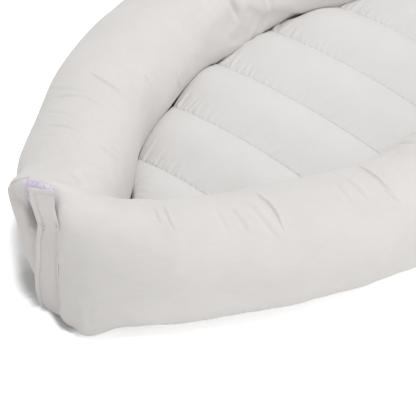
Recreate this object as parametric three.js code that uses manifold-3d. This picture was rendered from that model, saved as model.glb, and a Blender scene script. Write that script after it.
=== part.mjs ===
// Infant lounger: a stuffed bolster round a channel-quilted pad, closed at its pointed tip.
// Lengths are in millimetres. x is the width, y runs from the tip to the head, z is up.
import * as THREE from 'three';
import { mergeVertices } from 'three/addons/utils/BufferGeometryUtils.js';
import Module from 'manifold-3d';

const wasm = await Module();
wasm.setup();

// Overall sizes of the lounger as it lies on the floor.
const overallLength = 740;
const overallWidth = 470;

// Plan of the bolster's outer edge: a flat nose, round corners, two arms and a round head.
const noseHalfWidth = 25;
const cornerReach = 9;
const cornerPull = 36;
const shoulderX = 96;
const shoulderY = 42.5;
const armHeading = THREE.MathUtils.degToRad(37.7);
const armReach = 200;
const widestY = 364;
const widestPull = 50;
const headReach = 205;
const headHalfReach = 172;

// Cross-section of the bolster.
const bolsterWidth = 118;
const tipBolsterWidth = 114;
const sideHeight = 99;
const tipHeight = 125;
const heightTaperLength = 314;
const seatSink = 4;
const noseSquareness = 0.3;
const footStartShare = 0.3;
const footEndShare = 0.78;
const earRiseShare = 0.27;

// Lean of the stuffed nose: its foot stands to the right and its top to the left.
const noseFootShift = 8;
const noseLean = 0.24;
const leanStartY = 12;
const leanEndY = 62;

// Steps round and along the bolster.
const fanSteps = 4;
const armSteps = 7;
const headSteps = 9;
const upperSectionSteps = 6;
const lowerSectionSteps = 7;

// Cloth and clearances.
const fitGap = 0.3;
const coverCloth = 1.2;
const casingCloth = 0.8;
const basePanelCloth = 1.5;
const basePanelInset = 36;
const cutOverrun = 2;

// Slit in the cover's nose, and the split between the two ends of the insert behind it.
const slitX = -11.5;
const slitWidth = 6;
const slitBottom = 20;
const slitHeight = 112;
const slitDepth = 14;
const insertSplit = 12;
const stuffingGapLength = 40;
const stuffingGapHeight = 8;
const stuffingGapY = 36;
const stuffingGapZ = 50;

// Closure strips and tapes, from the flap at the front to the underlap on the cover.
const flapCloth = 1.6;
const underlapCloth = 1.5;
const tapeThickness = 1.2;
const flapWidth = 28;
const flapSewnWidth = 4;
const flapStepWidth = 3;
const flapBottom = 4;
const flapLength = 152;
const underlapBottom = 6;
const underlapLength = 143;
const underlapWidth = 31.5;
const underlapCover = 3.2;
const tapeWidth = 18;
const tapePeek = 1;
const hookTapeLength = 140;
const loopTapeLength = 149;
const tapeBottom = 12;

// Quilted pad. Its stitch lines are spaced by shares of its length.
const firstStitchShare = 0.183;
const channelPitchShare = 0.167;
const channelCount = 6;
const padGap = 0.5;
const padEdgeHeight = 27.5;
const padCrown = 9.5;
const padCrownSpan = 90;
const liningCloth = 0.8;
const quiltCloth = 1;
const channelPuff = 13;
const puffRoundness = 0.6;
const puffEdgeSharpness = 8;
const padRimMargin = 3.7;
const padTipTrim = 8;
const padHeadTrim = 4;
const padColumns = 12;
const channelRowShares = [0, 0.08, 0.25, 0.5, 0.75, 0.92];
const padRowShares = [0, 0.25, 0.5, 0.75];

// The closure's four layers stand one behind the other in front of the cover's nose.
const closureDepth = flapCloth + 2 * tapeThickness + underlapCloth + 4 * fitGap;
const noseY = closureDepth;
const seatHeight = basePanelCloth + fitGap;
const tipTop = seatHeight + tipHeight * (1 + earRiseShare);
const slitRight = slitX + slitWidth / 2;
const flapRight = slitRight + flapStepWidth + 2 * flapSewnWidth;
const flapLeft = flapRight - flapWidth;
const tapeLeft = flapLeft - tapePeek;
const padWallHeight = padEdgeHeight + 2 * padGap + liningCloth + quiltCloth + padRimMargin;

const naturalCotton = 0xdcd8d5;
const hiddenCotton = 0xe6e4df;
const fibre = 0xf4f3f0;
const lilac = 0xdccfe8;
const clothRoughness = 0.95;
const fibreRoughness = 1;
const tapeRoughness = 0.8;

function power(value, exponent) {
  return Math.sign(value) * Math.abs(value) ** exponent;
}

// Half of the outer edge, from the middle of the nose round to the middle of the head.
function outerEdge() {
  const shoulder = new THREE.Vector2(shoulderX, shoulderY);
  const heading = new THREE.Vector2(Math.sin(armHeading), Math.cos(armHeading));
  const halfWidth = overallWidth / 2;
  const corner = new THREE.CubicBezierCurve(
    new THREE.Vector2(noseHalfWidth, noseY),
    new THREE.Vector2(noseHalfWidth + cornerReach, noseY),
    shoulder.clone().addScaledVector(heading, -cornerPull),
    shoulder,
  );
  const arm = new THREE.CubicBezierCurve(
    shoulder,
    shoulder.clone().addScaledVector(heading, armReach),
    new THREE.Vector2(halfWidth, widestY - widestPull),
    new THREE.Vector2(halfWidth, widestY),
  );
  const head = new THREE.CubicBezierCurve(
    new THREE.Vector2(halfWidth, widestY),
    new THREE.Vector2(halfWidth, widestY + headReach),
    new THREE.Vector2(headHalfReach, overallLength),
    new THREE.Vector2(0, overallLength),
  );
  const nose = [new THREE.Vector2(0, noseY), new THREE.Vector2(noseHalfWidth, noseY)];
  const cornerPoints = corner.getSpacedPoints(fanSteps - 1).slice(1);
  const armPoints = arm.getSpacedPoints(armSteps).slice(1);
  const headPoints = head.getSpacedPoints(headSteps).slice(1);
  return [...nose, ...cornerPoints, ...armPoints, ...headPoints];
}

// Direction that points outwards from the edge at one of its points.
function outwardAt(points, index) {
  const last = points.length - 1;
  if (index === last) {
    return new THREE.Vector2(0, 1);
  }
  const along = points[index + 1].clone().sub(points[index - 1]).normalize();
  return new THREE.Vector2(along.y, -along.x);
}

// Each station is one cross-section of the bolster, from its inner to its outer edge.
// The first ones fan out from the inside corner of the nest, the others stand square to the edge.
function makeStations() {
  const points = outerEdge();
  const shoulderOut = outwardAt(points, fanSteps);
  const shoulderIn = points[fanSteps].clone().addScaledVector(shoulderOut, -tipBolsterWidth);
  const insideCorner = new THREE.Vector2(0, shoulderIn.y - shoulderIn.x / Math.tan(armHeading));
  return points.map((outer, index) => {
    const fan = Math.max(0, 1 - index / fanSteps);
    const blend = Math.min(1, outer.y / heightTaperLength);
    const width = THREE.MathUtils.lerp(tipBolsterWidth, bolsterWidth, blend);
    const inner = fan > 0
      ? shoulderIn.clone().lerp(insideCorner, fan)
      : outer.clone().addScaledVector(outwardAt(points, index), -width);
    return {
      outer,
      inner,
      out: outer.clone().sub(inner).normalize(),
      middle: outer.clone().add(inner).multiplyScalar(0.5),
      halfWidth: outer.distanceTo(inner) / 2,
      height: THREE.MathUtils.lerp(tipHeight, sideHeight, blend),
      squareness: THREE.MathUtils.lerp(1, noseSquareness, fan),
      footSquareness: THREE.MathUtils.lerp(
        1,
        noseSquareness,
        THREE.MathUtils.smoothstep(fan, footStartShare, footEndShare),
      ),
      earRise: earRiseShare * fan * fan,
    };
  });
}

const stations = makeStations();

// Angles round a cross-section, with one more step in the half that the lounger rests on.
function sectionAngles() {
  const upper = Array.from({ length: upperSectionSteps }, (_, i) => Math.PI * i / upperSectionSteps);
  const lower = Array.from({ length: lowerSectionSteps }, (_, i) => Math.PI * (1 + i / lowerSectionSteps));
  return [...upper, ...lower];
}

// Point of a cross-section, drawn in from the cover's outer face by an inset.
// The outer side turns square towards the nose, its lower half later than its upper half.
function sectionPoint(station, angle, inset) {
  const outerSquareness = Math.sin(angle) < 0 ? station.footSquareness : station.squareness;
  const squareness = Math.cos(angle) > 0 ? outerSquareness : 1;
  const across = power(Math.cos(angle), squareness);
  const up = power(Math.sin(angle), squareness);
  const halfHeight = (station.height + seatSink) / 2;
  const centre = station.height - halfHeight;
  const leaned = up > 0 ? 1 + station.earRise * across * up : 1;
  const height = (centre + (halfHeight - inset) * up) * leaned;
  const plan = station.middle.clone().addScaledVector(station.out, (station.halfWidth - inset) * across);
  return new THREE.Vector3(plan.x, plan.y, seatHeight + Math.max(height, inset));
}

function meshFrom(points, faces) {
  const geometry = new THREE.BufferGeometry().setFromPoints(points);
  geometry.setIndex(faces.flat());
  return geometry;
}

// Leans a point sideways with its height. The lean fades out behind the nose.
function leanOver(point) {
  const fade = 1 - THREE.MathUtils.smoothstep(point.y, leanStartY, leanEndY);
  return new THREE.Vector3(point.x + fade * (noseFootShift - noseLean * point.z), point.y, point.z);
}

// Closed ring of the bolster at an inset. The left half mirrors the right half, apart from the lean.
function ringGeometry(inset) {
  const angles = sectionAngles();
  const right = stations.map((station) => angles.map((angle) => sectionPoint(station, angle, inset)));
  const left = right.slice(1, -1).reverse()
    .map((ring) => ring.map((point) => new THREE.Vector3(-point.x, point.y, point.z)));
  const rings = [...right, ...left].map((ring) => ring.map(leanOver));
  const faces = [];
  rings.forEach((ring, i) => {
    const next = (i + 1) % rings.length;
    ring.forEach((_, j) => {
      const turn = (j + 1) % ring.length;
      const [a, b] = [i * ring.length + j, next * ring.length + j];
      const [c, d] = [next * ring.length + turn, i * ring.length + turn];
      faces.push([a, b, c], [a, c, d]);
    });
  });
  return meshFrom(rings.flat(), faces);
}

function toSolid(geometry) {
  const bare = geometry.clone();
  bare.deleteAttribute('normal');
  bare.deleteAttribute('uv');
  const merged = mergeVertices(bare);
  return new wasm.Manifold(new wasm.Mesh({
    numProp: 3,
    vertProperties: new Float32Array(merged.attributes.position.array),
    triVerts: new Uint32Array(merged.index.array),
  }));
}

function toGeometry(solid) {
  const mesh = solid.getMesh();
  const geometry = new THREE.BufferGeometry();
  geometry.setAttribute('position', new THREE.BufferAttribute(new Float32Array(mesh.vertProperties), 3));
  geometry.setIndex(Array.from(mesh.triVerts));
  geometry.computeVertexNormals();
  return geometry;
}

// Box between two corners, as a cutting tool.
function cutter(low, high) {
  const size = new THREE.Vector3().subVectors(high, low);
  const middle = new THREE.Vector3().addVectors(low, high).multiplyScalar(0.5);
  return toSolid(new THREE.BoxGeometry(size.x, size.y, size.z).translate(middle.x, middle.y, middle.z));
}

// Cloth sleeve between two insets of the ring, opened by the slit at its nose.
function bolsterCover() {
  const shell = toSolid(ringGeometry(0)).subtract(toSolid(ringGeometry(coverCloth)));
  const slit = cutter(
    new THREE.Vector3(slitX - slitWidth / 2, noseY - cutOverrun, seatHeight + slitBottom),
    new THREE.Vector3(slitRight, noseY + slitDepth, seatHeight + slitBottom + slitHeight),
  );
  return toGeometry(shell.subtract(slit));
}

// Ring at an inset, split behind the slit so that it is a U with two ends.
function splitRing(inset, split) {
  const gap = cutter(
    new THREE.Vector3(slitX - split / 2, 0, -cutOverrun),
    new THREE.Vector3(slitX + split / 2, stations[fanSteps].inner.y + cutOverrun, tipTop + cutOverrun),
  );
  return toSolid(ringGeometry(inset)).subtract(gap);
}

const casingInset = coverCloth + fitGap;
const fillInset = casingInset + casingCloth + fitGap;

// Inner sleeve of the insert. Its left end is open where the fibre goes in.
function insertCasing() {
  const outside = splitRing(casingInset, insertSplit);
  const inside = splitRing(casingInset + casingCloth, insertSplit + 2 * casingCloth);
  const endX = slitX - insertSplit / 2;
  const stuffingGap = cutter(
    new THREE.Vector3(endX - casingCloth - cutOverrun, stuffingGapY, stuffingGapZ),
    new THREE.Vector3(endX + cutOverrun, stuffingGapY + stuffingGapLength, stuffingGapZ + stuffingGapHeight),
  );
  return toGeometry(outside.subtract(inside).subtract(stuffingGap));
}

function insertFill() {
  return toGeometry(splitRing(fillInset, insertSplit + 2 * (casingCloth + fitGap)));
}

// Plan point on the bolster's inner wall at a height, moved into the nest by a clearance.
function wallPoint(station, height, clearance) {
  const wall = sectionAngles().slice(upperSectionSteps).map((angle) => sectionPoint(station, angle, 0));
  const index = wall.findIndex((point) => point.z < height);
  const [above, below] = [wall[index - 1], wall[index]];
  const share = (above.z - height) / (above.z - below.z);
  const point = above.clone().lerp(below, share);
  return new THREE.Vector2(point.x, point.y).addScaledVector(station.out, -clearance);
}

const padOutline = stations.map((station) => wallPoint(station, padWallHeight, padGap));

// Half width of the pad at a distance from the tip.
function padHalfWidth(y) {
  const index = padOutline.findIndex((point) => point.y > y);
  const [before, after] = [padOutline[index - 1], padOutline[index]];
  return THREE.MathUtils.mapLinear(y, before.y, after.y, before.x, after.x);
}

const padTipY = padOutline[0].y + padTipTrim;
const padHeadY = padOutline[padOutline.length - 1].y - padHeadTrim;

// The channels' ends along the pad: the tip, the stitch lines and the head.
function channelEnds() {
  const shares = Array.from({ length: channelCount - 1 }, (_, i) => firstStitchShare + i * channelPitchShare);
  return [padTipY, ...shares.map((share) => THREE.MathUtils.lerp(padTipY, padHeadY, share)), padHeadY];
}

// Rows of the whole pad, with each row's place along its channel.
function padRows(shares) {
  const ends = channelEnds();
  const rows = ends.slice(1).flatMap((end, i) => shares.map((share) => (
    { y: THREE.MathUtils.lerp(ends[i], end, share), share }
  )));
  return [...rows, { y: padHeadY, share: 1 }];
}

// Column places across a row, from -1 to 1, closer together at the sides.
function columnPlaces() {
  return Array.from({ length: padColumns + 1 }, (_, i) => Math.sin(Math.PI * (i / padColumns - 0.5)));
}

function padTop(y, place) {
  return padEdgeHeight + padCrown * (1 - place * place) * Math.min(1, padHalfWidth(y) / padCrownSpan);
}

function liningTop(y, place) {
  return padTop(y, place) + padGap + liningCloth;
}

// Outer face of the quilted sheet: it touches down at each stitch line and puffs up between them.
function quiltTop(row, place) {
  const along = Math.max(0, Math.sin(Math.PI * row.share)) ** puffRoundness;
  const sideways = 1 - Math.abs(place) ** puffEdgeSharpness;
  return liningTop(row.y, place) + padGap + quiltCloth + channelPuff * along * sideways;
}

// Closed sheet or block between two height functions over the same rows and columns.
function layerGeometry(rows, places, topAt, bottomAt) {
  const grid = (heightAt) => rows.flatMap((row) => places.map((place) => (
    new THREE.Vector3(place * padHalfWidth(row.y), row.y, heightAt(row, place))
  )));
  const points = [...grid(topAt), ...grid(bottomAt)];
  const columns = places.length;
  const below = rows.length * columns;
  const faces = [];
  for (let i = 0; i + 1 < rows.length; i += 1) {
    for (let j = 0; j + 1 < columns; j += 1) {
      const [a, b] = [i * columns + j, i * columns + j + 1];
      const [c, d] = [b + columns, a + columns];
      faces.push([a, b, c], [a, c, d], [below + a, below + c, below + b], [below + a, below + d, below + c]);
    }
  }
  const rim = [];
  for (let j = 0; j < columns; j += 1) rim.push(j);
  for (let i = 1; i < rows.length; i += 1) rim.push(i * columns + columns - 1);
  for (let j = columns - 2; j >= 0; j -= 1) rim.push((rows.length - 1) * columns + j);
  for (let i = rows.length - 2; i > 0; i -= 1) rim.push(i * columns);
  rim.forEach((a, i) => {
    const b = rim[(i + 1) % rim.length];
    faces.push([a, below + a, below + b], [a, below + b, b]);
  });
  const geometry = meshFrom(points, faces);
  geometry.computeVertexNormals();
  return geometry;
}

function quiltSheet() {
  return layerGeometry(
    padRows(channelRowShares),
    columnPlaces(),
    quiltTop,
    (row, place) => quiltTop(row, place) - quiltCloth,
  );
}

// Wadding roll in one channel, between the lining and the quilted sheet.
function channelFill(index) {
  const ends = channelEnds();
  const rows = channelRowShares.slice(1).map((share) => (
    { y: THREE.MathUtils.lerp(ends[index], ends[index + 1], share), share }
  ));
  return layerGeometry(
    rows,
    columnPlaces().slice(1, -1),
    (row, place) => quiltTop(row, place) - quiltCloth - padGap,
    (row, place) => liningTop(row.y, place) + padGap,
  );
}

function quiltLining() {
  return layerGeometry(
    padRows(padRowShares),
    columnPlaces(),
    (row, place) => liningTop(row.y, place),
    (row, place) => liningTop(row.y, place) - liningCloth,
  );
}

function mattressPad() {
  return layerGeometry(
    padRows(padRowShares),
    columnPlaces(),
    (row, place) => padTop(row.y, place),
    () => seatHeight,
  );
}

// Cloth under the whole lounger, a little inside the bolster's outer edge.
function basePanel() {
  const right = stations.map(({ outer, out }) => outer.clone().addScaledVector(out, -basePanelInset));
  const left = right.slice(1, -1).reverse().map((point) => new THREE.Vector2(-point.x, point.y));
  const shape = new THREE.Shape([...right, ...left]);
  return new THREE.ExtrudeGeometry(shape, { depth: basePanelCloth, bevelEnabled: false });
}

function extrudeUp(points, bottom, length) {
  const shape = new THREE.Shape(points.map(([x, y]) => new THREE.Vector2(x, y)));
  return new THREE.ExtrudeGeometry(shape, { depth: length, bevelEnabled: false }).translate(0, 0, bottom);
}

// Flap seen from above: free edge on the left, a step down to the cover, the sewn edge on the right.
function closureFlap() {
  const stepX = flapRight - flapSewnWidth;
  const sewnBack = noseY - fitGap;
  const sewnFront = sewnBack - flapCloth;
  return extrudeUp([
    [flapLeft, 0],
    [stepX - flapStepWidth, 0],
    [stepX, sewnFront],
    [flapRight, sewnFront],
    [flapRight, sewnBack],
    [stepX - flapCloth / 2, sewnBack],
    [stepX - flapStepWidth - flapCloth / 2, flapCloth],
    [flapLeft, flapCloth],
  ], flapBottom, flapLength);
}

function strip(left, width, front, thickness, bottom, length) {
  const points = [[left, front], [left + width, front], [left + width, front + thickness], [left, front + thickness]];
  return extrudeUp(points, bottom, length);
}

function hookTape() {
  return strip(tapeLeft, tapeWidth, flapCloth + fitGap, tapeThickness, tapeBottom, hookTapeLength);
}

function loopTape() {
  const front = flapCloth + tapeThickness + 2 * fitGap;
  return strip(tapeLeft, tapeWidth, front, tapeThickness, tapeBottom, loopTapeLength);
}

function closureUnderlap() {
  const front = noseY - fitGap - underlapCloth;
  const left = slitRight + underlapCover - underlapWidth;
  return strip(left, underlapWidth, front, underlapCloth, underlapBottom, underlapLength);
}

const group = new THREE.Group();
group.position.y = -overallLength / 2;

function addPiece(name, geometry, color, roughness) {
  const mesh = new THREE.Mesh(geometry, new THREE.MeshStandardMaterial({ color, roughness, metalness: 0 }));
  mesh.name = name;
  group.add(mesh);
}

addPiece('bolster_cover', bolsterCover(), naturalCotton, clothRoughness);
addPiece('insert_casing', insertCasing(), hiddenCotton, clothRoughness);
addPiece('insert_fill', insertFill(), fibre, fibreRoughness);
addPiece('quilt_top', quiltSheet(), naturalCotton, clothRoughness);
for (let i = 0; i < channelCount; i += 1) {
  addPiece(`channel_fill_${i + 1}`, channelFill(i), fibre, fibreRoughness);
}
addPiece('quilt_lining', quiltLining(), hiddenCotton, clothRoughness);
addPiece('mattress_pad', mattressPad(), fibre, fibreRoughness);
addPiece('base_panel', basePanel(), hiddenCotton, clothRoughness);
addPiece('closure_flap', closureFlap(), naturalCotton, clothRoughness);
addPiece('closure_underlap', closureUnderlap(), naturalCotton, clothRoughness);
addPiece('hook_tape', hookTape(), lilac, tapeRoughness);
addPiece('loop_tape', loopTape(), lilac, tapeRoughness);

export default group;
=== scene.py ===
# %% [markdown]
# This lesson dresses an infant lounger: a stuffed cotton bolster bent round a quilted pad, and
# closed at its pointed tip by a strip of hook and loop tape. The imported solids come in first. They
# are plain and stiff, but have the right size and place, so each soft piece is fitted to them.

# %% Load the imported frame
import bpy
import math
import numpy as np
from numpy.linalg import norm
from mathutils import Matrix, Vector
from mathutils.bvhtree import BVHTree


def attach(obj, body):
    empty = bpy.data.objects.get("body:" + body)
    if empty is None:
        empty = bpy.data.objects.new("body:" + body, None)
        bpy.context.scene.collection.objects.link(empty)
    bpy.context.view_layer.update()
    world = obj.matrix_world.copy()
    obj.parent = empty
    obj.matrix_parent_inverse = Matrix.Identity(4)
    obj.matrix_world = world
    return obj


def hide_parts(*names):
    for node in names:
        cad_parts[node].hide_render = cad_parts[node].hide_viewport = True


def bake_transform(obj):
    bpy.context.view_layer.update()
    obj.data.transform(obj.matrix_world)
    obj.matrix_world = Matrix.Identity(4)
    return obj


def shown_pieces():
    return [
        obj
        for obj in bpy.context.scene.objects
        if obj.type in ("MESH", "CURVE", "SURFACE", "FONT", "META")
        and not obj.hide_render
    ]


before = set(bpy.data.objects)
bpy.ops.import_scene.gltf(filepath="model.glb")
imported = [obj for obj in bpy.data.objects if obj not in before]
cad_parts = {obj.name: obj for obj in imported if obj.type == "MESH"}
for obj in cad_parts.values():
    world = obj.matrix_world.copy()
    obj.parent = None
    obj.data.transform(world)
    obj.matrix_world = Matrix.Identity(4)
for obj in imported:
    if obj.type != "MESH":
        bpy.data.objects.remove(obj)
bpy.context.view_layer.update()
bpy.ops.object.select_all(action="DESELECT")
print("solids in the frame:", len(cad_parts))

# %% [markdown]
# The camera stands in front of the tip, to its right and well above it. Its place, turn and lens
# were worked out from the lounger's outline. It comes early, because folds are placed through it.

# %% Camera
AZIMUTH, ELEVATION, ROLL = (math.radians(angle) for angle in (37.530, 42.299, 4.466))
EYE = Vector((0.79775, -1.18641, 1.19087))
LENS, SENSOR, PICTURE = 154.326, 36.0, 416
flat = math.cos(ELEVATION)
look = Vector((-math.sin(AZIMUTH) * flat, math.cos(AZIMUTH) * flat, -math.sin(ELEVATION)))
level = Vector((math.cos(AZIMUTH), math.sin(AZIMUTH), 0))
upright = level.cross(look)
rightward = level * math.cos(ROLL) + upright * math.sin(ROLL)
upward = upright * math.cos(ROLL) - level * math.sin(ROLL)
camera = bpy.data.objects.new("camera", bpy.data.cameras.new("camera"))
bpy.context.collection.objects.link(camera)
camera.data.sensor_width = SENSOR
camera.data.lens = LENS
camera.data.clip_end = 20
turned = Matrix((rightward, upward, -look)).transposed().to_4x4()
camera.matrix_world = Matrix.Translation(EYE) @ turned
bpy.context.scene.camera = camera
print("camera lens in mm:", camera.data.lens)

# %% [markdown]
# Soft shapes are built here from grids of points: numpy moves all the points of a piece at once,
# and the grid keeps its rows and columns for folds and for the weave. These helpers serve every
# piece. Sizes are in millimetres until a grid becomes a mesh, as in the solids' own drawing.

# %% Helpers for curves
MM = 0.001


def smoothstep(low, high, value):
    t = np.clip((value - low) / (high - low), 0, 1)
    return t * t * (3 - 2 * t)


def fall(low, high, value):
    return 1 - smoothstep(low, high, value)


def bell(value, centre, reach):
    """A smooth hump that has all but gone at twice its reach."""
    return np.exp(-((value - centre) / reach) ** 2)


def unit(vectors):
    return vectors / np.maximum(norm(vectors, axis=-1, keepdims=True), 1e-12)


def lengths_along(points):
    steps = norm(np.diff(points, axis=0), axis=1)
    return np.concatenate([[0], np.cumsum(steps)])


def at_lengths(points, places):
    along = lengths_along(points)
    return np.stack([np.interp(places, along, points[:, i]) for i in range(points.shape[1])], 1)


def bezier(points, count):
    t = np.linspace(0, 1, count)[:, None]
    a, b, c, d = (np.asarray(p, float) for p in points)
    return a * (1 - t) ** 3 + 3 * b * t * (1 - t) ** 2 + 3 * c * t ** 2 * (1 - t) + d * t ** 3


def smooth_path(points, count):
    points = np.asarray(points, float)
    fine = at_lengths(points, np.linspace(0, lengths_along(points)[-1], count))
    for _ in range(max(2, count // 12)):
        fine[1:-1] = (fine[:-2] + 2 * fine[1:-1] + fine[2:]) / 4
    return fine


print("a smoothstep's middle:", smoothstep(0, 1, 0.5))


# %% Helpers for meshes
def add_mesh(name, points, faces, uv=None):
    mesh = bpy.data.meshes.new(name)
    mesh.from_pydata(np.asarray(points).reshape(-1, 3).tolist(), [], faces)
    mesh.polygons.foreach_set("use_smooth", [True] * len(mesh.polygons))
    if uv is not None:
        corners = np.zeros(len(mesh.loops), int)
        mesh.loops.foreach_get("vertex_index", corners)
        uv = np.asarray(uv, float).reshape(-1, 2)[corners]
        mesh.uv_layers.new(name="cloth").uv.foreach_set("vector", uv.ravel())
    piece = bpy.data.objects.new(name, mesh)
    bpy.context.collection.objects.link(piece)
    return piece


def tube_faces(rows, columns):
    index = np.arange(rows * columns).reshape(rows, columns)
    after = np.roll(index, -1, 0)
    faces = np.stack([index, after, np.roll(after, -1, 1), np.roll(index, -1, 1)], -1)
    return faces.reshape(-1, 4).tolist()


def grid_faces(rows, columns):
    index = np.arange(rows * columns).reshape(rows, columns)
    faces = np.stack([index[:-1, :-1], index[:-1, 1:], index[1:, 1:], index[1:, :-1]], -1)
    return faces.reshape(-1, 4)


def layer_faces(rows, columns):
    """Faces of a closed layer: its face, its back and the rim between them."""
    face, quads = np.arange(rows * columns).reshape(rows, columns), grid_faces(rows, columns)
    rim = np.concatenate([face[0, :-1], face[:-1, -1], face[-1, :0:-1], face[:0:-1, 0]])
    after, under = np.roll(rim, -1), rows * columns
    walls = np.stack([rim, rim + under, after + under, after], -1)
    return np.concatenate([quads, quads[:, ::-1] + under, walls]).tolist()


def add_layer(name, face, back, uv=None):
    """A closed sheet between two grids. Its face is the side that rows and columns turn to."""
    if uv is None:
        steps = (np.diff(face, axis=way, prepend=face.take([0], way)) for way in (1, 0))
        uv = np.stack([norm(s, axis=2).cumsum(1 - i) for i, s in enumerate(steps)], -1)
    points = np.concatenate([face.reshape(-1, 3), back.reshape(-1, 3)])
    both_uv = np.concatenate([uv.reshape(-1, 2)] * 2)
    return add_mesh(name, points, layer_faces(*face.shape[:2]), both_uv)


def layer_normals(face):
    """Directions square to an open grid, on its face's side."""
    return unit(np.cross(np.gradient(face, axis=1), np.gradient(face, axis=0)))


def dress(piece, body, slot, *nodes):
    """Attaches a piece to its body, or bakes the sewn flap in place, and hides the solids that it
    stands for. Its finish, the slot, is not used.
    """
    if body == "sewn flap":
        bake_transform(piece)
    else:
        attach(piece, body)
    if nodes:
        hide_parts(*nodes)
    print(piece.name, "has", len(piece.data.polygons), "faces, for", ", ".join(nodes) or "itself")
    return piece


# %% [markdown]
# The bolster is a closed tube. In plan its outer edge has a short nose, two long arms and a round
# head, as in the solid. A box with a subdivision surface would be quicker, but a tube of many
# rings can hold folds. The rings stand closer together near the tip, where folds show.

# %% Plan of the bolster
LENGTH, WIDTH = 740, 470
NOSE_Y, NOSE_HALF, CORNER_REACH, CORNER_PULL = 6.7, 25, 9, 36
SHOULDER, HEADING = np.array((96, 42.5)), math.radians(37.7)
ARM_REACH, WIDEST_Y, WIDEST_PULL = 200, 364, 50
HEAD_REACH, HEAD_HALF = 205, 172
heading = np.array((math.sin(HEADING), math.cos(HEADING)))
half_width = WIDTH / 2
nose = np.linspace((0, NOSE_Y), (NOSE_HALF, NOSE_Y), 40)
corner = bezier([
    (NOSE_HALF, NOSE_Y), (NOSE_HALF + CORNER_REACH, NOSE_Y),
    SHOULDER - heading * CORNER_PULL, SHOULDER], 120)
arm = bezier([
    SHOULDER, SHOULDER + heading * ARM_REACH,
    (half_width, WIDEST_Y - WIDEST_PULL), (half_width, WIDEST_Y)], 300)
head = bezier([
    (half_width, WIDEST_Y), (half_width, WIDEST_Y + HEAD_REACH),
    (HEAD_HALF, LENGTH), (0, LENGTH)], 300)
edge = np.concatenate([nose, corner[1:], arm[1:], head[1:]])
HALF_RING = lengths_along(edge)[-1]
SHOULDER_AT = NOSE_HALF + lengths_along(corner)[-1]
print("outer edge in mm:", round(2 * HALF_RING))

# %% Stations along the bolster
ALONG, AROUND = 1400, 320
BOLSTER_WIDTH, TIP_WIDTH, TAPER = 118, 114, 314
TIP_DENSITY, HEAD_DENSITY = 3.2, 1.0
fine = np.linspace(0, 1, 2000)
density = TIP_DENSITY - (TIP_DENSITY - HEAD_DENSITY) * smoothstep(0.42, 0.68, fine)
counted = np.concatenate([[0], np.cumsum(density[1:] + density[:-1])])
places = np.interp(np.linspace(0, 1, ALONG // 2 + 1), counted / counted[-1], fine) * HALF_RING
round_trip = np.concatenate([places, 2 * HALF_RING - places[-2:0:-1]])
outer = at_lengths(edge, places)
after, before = (at_lengths(edge, np.clip(places + d, 0, HALF_RING)) for d in (1, -1))
step = unit(after - before)
outward = np.stack([step[:, 1], -step[:, 0]], 1)
blend = np.clip(outer[:, 1] / TAPER, 0, 1)
inner = outer - outward * (TIP_WIDTH + (BOLSTER_WIDTH - TIP_WIDTH) * blend)[:, None]
shoulder_in = SHOULDER - np.array((heading[1], -heading[0])) * TIP_WIDTH
inside_corner = np.array((0, shoulder_in[1] - shoulder_in[0] / math.tan(HEADING)))
fan = np.clip(1 - places / SHOULDER_AT, 0, 1)
fanned = shoulder_in + (inside_corner - shoulder_in) * fan[:, None]
inner = np.where(fan[:, None] > 0, fanned, inner)


def both_halves(values, sign=1):
    return np.concatenate([values, (values * sign)[-2:0:-1]])


def soften(values, reach=5, wrap=40):
    """Evens out a value along the closed ring, over about the given distance."""
    lap = 2 * HALF_RING
    where = np.concatenate([round_trip[-wrap:] - lap, round_trip, round_trip[:wrap] + lap])
    weights = np.exp(-((where[:, None] - where[None]) / reach) ** 2)
    weights /= weights.sum(1, keepdims=True)
    return (weights @ np.concatenate([values[-wrap:], values, values[:wrap]]))[wrap:-wrap]


mirror = np.array((-1, 1))
ring_outer, ring_inner = (soften(both_halves(line, mirror)) for line in (outer, inner))
ring_fan, ring_blend = soften(both_halves(fan)), both_halves(blend)
# The left arm is a little slimmer on the inside, so the inside corner lies left of the middle.
CORNER_SHIFT = 8
on_left = np.where(ring_outer[:, 0] <= 0, 1.0, fall(0, 14, ring_inner[:, 0]))
ring_inner[:, 0] -= CORNER_SHIFT * on_left * fall(210, 290, ring_inner[:, 1])
print("stations:", len(ring_outer))

# %% [markdown]
# Each station gets a cross-section: an ellipse on the arms, which turns into an upright square
# wall at the nose. Its points are spread evenly, so the cloth's grid isn't bunched at corners.

# %% Cross-sections of the bolster
SIDE_HEIGHT, TIP_HEIGHT, SEAT_SINK = 99, 125, 4
NOSE_SQUARE, EAR_RISE, UNDERCUT = 0.3, 0.27, 3
# The bolster rests on the base cloth's edge, and sags outside it by a share of that height.
SEAT, SAG = 1.8, 0.4
FINE_SECTION = 721


def section(out, inn, fan, blend, angle):
    half, cos, sin = norm(out - inn) / 2, np.cos(angle), np.sin(angle)
    height = TIP_HEIGHT + (SIDE_HEIGHT - TIP_HEIGHT) * blend
    foot = smoothstep(0.30, 0.78, fan)
    square = 1 + (NOSE_SQUARE - 1) * np.where(sin > 0, fan, foot)
    square = np.where(cos > 0, square, 1)
    across, up = (np.sign(share) * np.abs(share) ** square for share in (cos, sin))
    half_height = (height + SEAT_SINK) / 2
    rise = 1 + EAR_RISE * fan ** 2 * across * np.maximum(up, 0)
    z = np.maximum((height - half_height + half_height * up) * rise, 0)
    z += SEAT * (1 - SAG * smoothstep(0.42, 0.55, across) * fall(0, 12, z))
    drawn_in = UNDERCUT * bell(z, 12, 12) * (across > 0) * fall(0.12, 0.4, fan)
    plan = (out + inn) / 2 + (out - inn) / (2 * half) * (half * across - drawn_in)[:, None]
    return np.column_stack([plan, z])


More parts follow.
